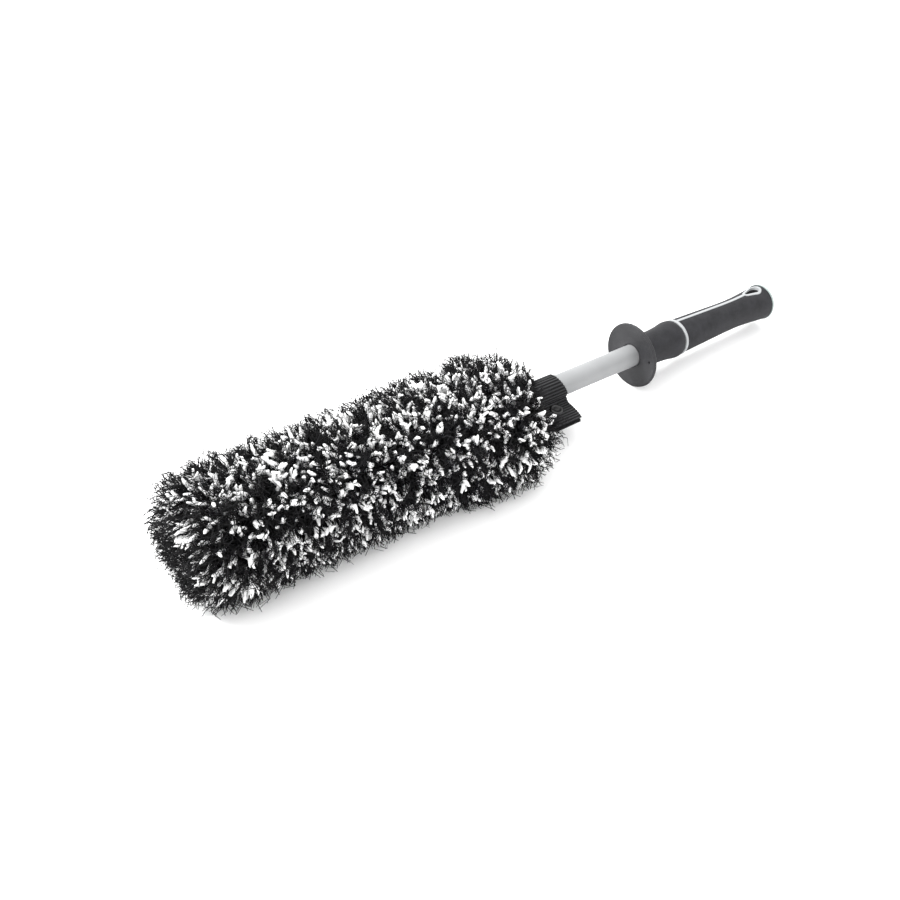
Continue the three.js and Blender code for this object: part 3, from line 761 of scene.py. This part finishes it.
# %% Bed
PILE_REAR = -116.0
FLARE_FROM = -111.0
PILE_TIP = -436.0
HALF_W = 51.0
PILE_UP = 43.0
PILE_DOWN = 50.0
FLARE = 11.0
FLARE_AT = 45.0
SHIFT = -9.0
BED_DEPTH = 14.0
BED_REAR = 9.0
TIP_ROUND = 12.0
REAR_ROUND = 44.0
MOUTH_SHARE = 0.38
SIDES = 40
FLOOR_CUT = 0.004


def fade(distance, reach, least):
    inside = min(max(distance / reach, 0), 1)
    return least + (1 - least) * math.sqrt(1 - (1 - inside) ** 2)


def pile_section(x):
    """Half width, half height, and the section's middle (y, z) at x."""
    behind = max(FLARE_FROM - x, 0) / FLARE_AT
    flare = (behind * math.exp(1 - behind)) ** 1.5
    up = PILE_UP + 0.5 * FLARE * flare
    return HALF_W + FLARE * flare, (up + PILE_DOWN) / 2, SHIFT * flare, (up - PILE_DOWN) / 2


def grown(stations, sides):
    """A closed body through stations of (x, half width, half height, y, z), along the x axis."""
    bpy.ops.mesh.primitive_circle_add(
        vertices=sides, radius=1, fill_type="NGON", rotation=(0, math.pi / 2, 0))
    obj = bpy.context.object
    only(obj)
    bpy.ops.object.transform_apply(rotation=True)
    editing(obj)
    last = (0, 1, 1, 0, 0)
    for k, station in enumerate(stations):
        if k:
            bpy.ops.mesh.extrude_region_move(TRANSFORM_OT_translate={"value": (0, 0, 0)})
        shift = tuple(station[i] - last[i] for i in (0, 3, 4))
        bpy.ops.transform.resize(value=(1, station[1] / last[1], station[2] / last[2]),
                                 center_override=(last[0], last[3], last[4]))
        bpy.ops.transform.translate(value=shift)
        last = station
    bpy.ops.mesh.select_all(action="SELECT")
    bpy.ops.mesh.normals_make_consistent(inside=False)
    done_editing()
    return obj


def bed_stations(depth):
    tip, rear = PILE_TIP + 0.8 * depth, PILE_REAR - BED_REAR
    xs = [tip + TIP_ROUND * t for t in (0, 0.08, 0.22, 0.45, 0.72, 1)]
    xs += list(np.linspace(tip + TIP_ROUND, rear - REAR_ROUND, 12)[1:])
    xs += [rear - REAR_ROUND * t for t in (0.8, 0.6, 0.42, 0.28, 0.16, 0.07, 0.02, 0)]
    stations = []
    for x in xs:
        w, h, y, z = pile_section(x)
        keep = fade(x - tip, TIP_ROUND, 0.8) * fade(rear - x, REAR_ROUND, MOUTH_SHARE)
        stations.append((x, (w - depth) * keep, (h - depth) * keep, y, z))
    return stations


SOCK_HALF_W = 27.0
SOCK_HALF_T = 13.0
SOCK_TIP = -411.0
SOCK_MOUTH = -120.0
SOCK_NECK = 14.2
SOCK_ROOM = 0.6
SOCK_WALL = 1.0
SOCK_SIDES = 32


def sock_stations(wider):
    """The sock's outside: rounded over the core's tip, and gathered to the cuff at its mouth."""
    w, t, neck = (size + wider for size in (SOCK_HALF_W, SOCK_HALF_T, SOCK_NECK))
    return [
        (SOCK_TIP - wider, 0.5 * w, 0.5 * t, 0, 0), (SOCK_TIP + 4, 0.8 * w, 0.85 * t, 0, 0),
        (SOCK_TIP + 12, w, t, 0, 0), (-180, w, t, 0, 0), (-150, 0.7 * w, t, 0, 0),
        (-132, neck + 0.8, neck, 0, 0), (SOCK_MOUTH, neck, neck, 0, 0),
    ]


bed = grown(bed_stations(BED_DEPTH), SIDES)
mouth = (PILE_REAR + 5, SOCK_NECK + SOCK_ROOM, SOCK_NECK + SOCK_ROOM, 0, 0)
room = grown([*sock_stations(SOCK_ROOM), mouth], SOCK_SIDES)
only(bed)
bore = bed.modifiers.new("sock room", "BOOLEAN")
bore.object = room
bore.operation = "DIFFERENCE"
bpy.ops.object.modifier_apply(modifier=bore.name)
bpy.data.objects.remove(room)
# The bed's black is the black fibre's own colour, and it is also painted shade for the depths of the pile.
set_down(bed, "matted_pile", "cover", black_fibre, "pile", "pile_upper", "pile_lower")
sock = grown(sock_stations(0.0), SOCK_SIDES)
editing(sock, "DESELECT")
bpy.ops.mesh.select_mode(type="FACE")
done_editing()
max(sock.data.polygons, key=lambda face: face.center.x).select = True
bpy.ops.object.mode_set(mode="EDIT")
bpy.ops.mesh.delete(type="FACE")
bpy.ops.mesh.select_mode(type="VERT")
done_editing()
wall = sock.modifiers.new("wall", "SOLIDIFY")
wall.thickness = SOCK_WALL
wall.offset = -1
bpy.ops.object.modifier_apply(modifier=wall.name)
set_down(sock, "sock", "cover", knit, "knit", "cover_backing")
editing(bed)
bpy.ops.mesh.bisect(plane_co=(0, 0, FLOOR_CUT), plane_no=(0, 0, 1), use_fill=True, clear_inner=True)
done_editing()
print("bed faces", len(bed.data.polygons))

# %% [markdown]
# ## Strands and tufts
#
# One strand is a slim three-sided cone, cut across three times and bent a little at each cut. One fat tuft
# is a long seven-sided sphere with uneven sides. A handful of each is modelled one by one, and the head is
# then planted with copies, as the tufting machine does: each copy is turned along its own line from root to
# tip.

# %% One strand and one tuft


def bent(obj, cuts, sway, curl, rng):
    """Cuts a shape that stands on z = 0 across, and shifts each cut sideways."""
    editing(obj)
    for cut in cuts:
        bpy.ops.mesh.select_all(action="SELECT")
        bpy.ops.mesh.bisect(plane_co=(0, 0, cut), plane_no=(0, 0, 1))
    done_editing()
    heights = sorted({round(v.co.z, 4) for v in obj.data.vertices})
    for height in heights[1:-1]:
        editing(obj, "DESELECT")
        done_editing()
        for vertex in obj.data.vertices:
            vertex.select = abs(vertex.co.z - height) < 1e-3
        bpy.ops.object.mode_set(mode="EDIT")
        bulge = math.sin(math.pi * height)
        shift = (*(rng.normal(0, sway, 2) + np.array((curl * bulge, 0))), 0)
        bpy.ops.transform.translate(value=shift)
        done_editing()
    return taken(obj)


def taken(obj):
    """The shape's points and triangles as arrays; the shape itself is then cleared away."""
    editing(obj)
    bpy.ops.mesh.quads_convert_to_tris()
    done_editing()
    points = np.array([v.co for v in obj.data.vertices])
    faces = np.array([p.vertices for p in obj.data.polygons])
    bpy.data.objects.remove(obj)
    return points, faces


def one_strand(rng):
    bpy.ops.mesh.primitive_cone_add(
        vertices=3, radius1=0.5, radius2=0.3, depth=1, location=(0, 0, 0.5), end_fill_type="NOTHING")
    obj = bpy.context.object
    only(obj)
    bpy.ops.object.transform_apply(location=True)
    return bent(obj, (0.3, 0.58, 0.82), 0.09, 0.24, rng)


def one_tuft(rng):
    bpy.ops.mesh.primitive_uv_sphere_add(segments=7, ring_count=6, radius=0.5, location=(0, 0, 0.5))
    obj = bpy.context.object
    only(obj)
    bpy.ops.object.transform_apply(location=True)
    points, faces = bent(obj, (), 0.03, 0.12, rng)
    grooves = 1 + 0.16 * rng.normal(0, 1, len(points))
    points[:, 0] *= grooves
    points[:, 1] *= grooves
    return points, faces


rng = np.random.default_rng(41)
strands = [one_strand(rng) for _ in range(8)]
tufts = [one_tuft(rng) for _ in range(6)]
print("strand faces", len(strands[0][1]), "tuft faces", len(tufts[0][1]))

# %% Roots on the bed
UNDERSIDE = -0.95
UNDERSIDE_SHARE = 0.45
NEARNESS_REACH = 0.045
BESIDE_REACH = 0.02
SWEEP = 0.42
TIP_SWEEP = 0.75
TIP_SWEEP_REACH = 0.03
DROOP = 0.10


def roots_on(obj, count, rng):
    """Points spread over the bed's outside, with the direction that faces out."""
    mesh = obj.data
    mesh.calc_loop_triangles()
    tris = np.array([t.vertices for t in mesh.loop_triangles])
    points = np.array([v.co for v in mesh.vertices])
    a, b, c = (points[tris[:, k]] for k in range(3))
    cross = np.cross(b - a, c - a)
    area = np.linalg.norm(cross, axis=1) / 2
    normal = cross / np.maximum(np.linalg.norm(cross, axis=1), 1e-12)[:, None]
    inverse = np.array(lay_down.inverted())
    middle = (a + b + c) / 3 @ inverse[:3, :3].T + inverse[:3, 3]
    outside = np.einsum("ij,ij->i", middle[:, 1:], normal[:, 1:]) > 0
    outside |= normal @ np.array(along_tube) < -0.5
    weight = np.where(outside, area, 0)
    weight = np.where(normal[:, 2] < UNDERSIDE, UNDERSIDE_SHARE * weight, weight)
    chosen = rng.choice(len(tris), count, p=weight / weight.sum())
    u, v = rng.random((2, count, 1))
    flip = u + v > 1
    u, v = np.where(flip, 1 - u, u), np.where(flip, 1 - v, v)
    return a[chosen] + u * (b - a)[chosen] + v * (c - a)[chosen], normal[chosen]


def spread_out(points, normals, spacing, keep):
    """Keeps the first point in each cell of a grid spacing wide, and at most keep of them."""
    cells = np.floor(points / spacing).astype(int)
    _, first = np.unique(cells, axis=0, return_index=True)
    first = np.sort(first)[:keep]
    return points[first], normals[first]


def nearness(points):
    """1 at the cuff and 0 down the head: how freely the pile stands."""
    return np.exp(-np.maximum(from_rear(points), 0) / NEARNESS_REACH)


def from_rear(points):
    """How far a point is from the pile's rear towards the tip, in metres."""
    return (points - np.array(placed(PILE_REAR, 0, 0))) @ -np.array(along_tube)


def from_tip(points):
    return (PILE_REAR - PILE_TIP) * MM - from_rear(points)


def beside(points):
    """1 on the near side of the head, where the cuff's slack comes out, and 0 on the far side."""
    return np.clip((guard_face.y - points[:, 1]) / BESIDE_REACH, 0, 1)


def leaning(points, normals, spread, rng):
    """The way each clump points: outwards, ruffled at random, swept to the tip and drooping a little."""
    sideways = rng.normal(0, spread, points.shape)
    forward = SWEEP + TIP_SWEEP * np.exp(-np.maximum(from_tip(points), 0) / TIP_SWEEP_REACH)
    way = normals + sideways - forward[:, None] * np.array(along_tube)[None, :] + np.array([[0, 0, -DROOP]])
    back = way @ np.array(along_tube)
    allowed = 0.05 + 0.9 * (1 - nearness(points))
    way -= np.maximum(back - allowed, 0)[:, None] * np.array(along_tube)[None, :]
    return way / np.linalg.norm(way, axis=1)[:, None]


# %% Planting
FLOOR_GAP = 0.0004
HIGHEST = 0.1018
WIDEST = 0.0748


def planted(name, templates, roots, tips, widths, shades, material, rng):
    """One piece made of copies of templates, each from its root to its tip."""
    way = tips - roots
    length = np.linalg.norm(way, axis=1)
    z = way / length[:, None]
    helper = np.where(np.abs(z[:, 2:3]) < 0.9, np.array([[0, 0, 1.0]]), np.array([[1.0, 0, 0]]))
    x = np.cross(helper, z)
    x /= np.linalg.norm(x, axis=1)[:, None]
    y = np.cross(z, x)
    roll = rng.uniform(0, 2 * math.pi, (len(roots), 1))
    x, y = np.cos(roll) * x + np.sin(roll) * y, np.cos(roll) * y - np.sin(roll) * x
    kind = rng.integers(0, len(templates), len(roots))
    all_points, all_faces, all_shades, base = [], [], [], 0
    for k, (points, faces) in enumerate(templates):
        who = np.flatnonzero(kind == k)
        across = points[:, :2]
        middle = np.array([points[np.abs(points[:, 2] - h) < 0.02][:, :2].mean(axis=0) for h in points[:, 2]])
        thin = (across - middle)[None] * widths[who, None, None]
        curl = middle[None] * length[who, None, None]
        flat = thin + curl
        placed_points = (
            roots[who, None]
            + flat[..., :1] * x[who, None]
            + flat[..., 1:] * y[who, None]
            + points[None, :, 2:] * way[who, None]
        )
        count = len(points)
        all_points.append(placed_points.reshape(-1, 3))
        offsets = base + np.arange(len(who)) * count
        all_faces.append((faces[None] + offsets[:, None, None]).reshape(-1, 3))
        all_shades.append(np.repeat(shades[who], count))
        base += len(who) * count
    return shown(
        name, np.concatenate(all_points), np.concatenate(all_faces), np.concatenate(all_shades), material)


def shown(name, points, faces, shades, material):
    """A mesh piece of the cover's pile. Points under the floor or past the room it has are trimmed level."""
    print(name, "points trimmed at the floor", int((points[:, 2] < FLOOR_GAP).sum()), "at the top",
          int((points[:, 2] > HIGHEST).sum()), "at the sides", int((np.abs(points[:, 1]) > WIDEST).sum()),
          "of", len(points))
    points[:, 2] = np.clip(points[:, 2], FLOOR_GAP, HIGHEST)
    points[:, 1] = np.clip(points[:, 1], -WIDEST, WIDEST)
    mesh = bpy.data.meshes.new(name)
    mesh.vertices.add(len(points))
    mesh.vertices.foreach_set("co", points.astype(np.float32).ravel())
    mesh.loops.add(faces.size)
    mesh.loops.foreach_set("vertex_index", faces.astype(np.int32).ravel())
    mesh.polygons.add(len(faces))
    mesh.polygons.foreach_set("loop_start", np.arange(0, faces.size, 3, dtype=np.int32))
    mesh.update(calc_edges=True)
    mesh.validate()
    mesh.attributes.new("shade", "FLOAT", "POINT").data.foreach_set("value", shades.astype(np.float32))
    mesh.polygons.foreach_set("use_smooth", np.ones(len(faces), bool))
    mesh.materials.append(material)
    obj = bpy.data.objects.new(name, mesh)
    bpy.context.scene.collection.objects.link(obj)
    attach(obj, "cover")
    return obj


# %% [markdown]
# The black strands grow in clumps of ten that lean together, with their ends spread a little. The pile gets
# shorter towards the cuff and longer at the tip, and it starts further from the cuff on the near side, where
# the cuff's slack lies. The white tufts are thicker and a little shorter, so they sit among the strands.

# %% Black strands
CLUMPS = 4000
PER_CLUMP = 10
PIECE_LIMIT = 190000
BARE = 0.030
REAR_LENGTH = 0.4
REAR_GAIN = 0.65
REAR_REACH = 0.05
BESIDE_LOSS = 0.45
BESIDE_FADE = 0.012
TIP_REACH = 0.02
ROOT_SPREAD = 0.0019
END_SPREAD = 0.0022
END_LIMIT = 0.004

rng = np.random.default_rng(77)


def clumps(count, spacing, spread, low, high, at_tip, rng):
    """Where clumps root, which way each one points, and how long it is."""
    points, normals = roots_on(bed, 6 * count, rng)
    free = from_rear(points) > BARE * beside(points)
    points, normals = spread_out(points[free], normals[free], spacing, count)
    way = leaning(points, normals, spread, rng)
    length = rng.uniform(low, high, len(points))
    length *= REAR_LENGTH + REAR_GAIN * np.clip(from_rear(points) / REAR_REACH, 0, 1)
    length *= 1 - BESIDE_LOSS * np.exp(-np.maximum(from_rear(points), 0) / BESIDE_FADE) * beside(points)
    length *= 1 + at_tip * np.exp(-np.maximum(from_tip(points), 0) / TIP_REACH)
    return points, way, length


def in_slices(name, templates, roots, tips, widths, shades, material, rng):
    """Plants in several pieces along the head, each under the limit."""
    per_piece = PIECE_LIMIT // len(templates[0][1])
    order = np.argsort(roots @ np.array(along_tube))
    parts = math.ceil(len(order) / per_piece)
    for k, who in enumerate(np.array_split(order, parts)):
        planted(f"{name}_{k + 1}", templates, roots[who], tips[who], widths[who], shades[who], material, rng)
    return parts


points, way, length = clumps(CLUMPS, 0.0040, 0.50, 0.0120, 0.0215, 0.45, rng)
clump = np.repeat(np.arange(len(points)), PER_CLUMP)
strand_roots = points[clump] + rng.normal(0, ROOT_SPREAD, (len(clump), 3))
clump_ends = points + way * length[:, None]
fanned = np.clip(rng.normal(0, END_SPREAD, (len(clump), 3)), -END_LIMIT, END_LIMIT)
strand_tips = clump_ends[clump] + fanned
strand_tips += way[clump] * rng.normal(0, END_SPREAD, (len(clump), 1))
widths = rng.uniform(0.0007, 0.0011, len(clump))
shades = np.clip(rng.normal(0.5, 0.25, len(clump)), 0, 1)
parts = in_slices("black_strands", strands, strand_roots, strand_tips, widths, shades, black_fibre, rng)
print("black strands", len(clump), "in", parts, "pieces")

# %% White tufts
TUFTS = 3100
TUFT_LIFT = 0.002

points, way, length = clumps(TUFTS, 0.0038, 0.38, 0.0132, 0.0178, 0.3, rng)
start = points + way * TUFT_LIFT
parts = in_slices("white_tufts", tufts, start, start + way * length[:, None],
                  rng.uniform(0.0026, 0.0042, len(points)),
                  rng.uniform(0.45, 1, len(points)), white_fibre, rng)
print("white tufts", len(points), "in", parts, "pieces")
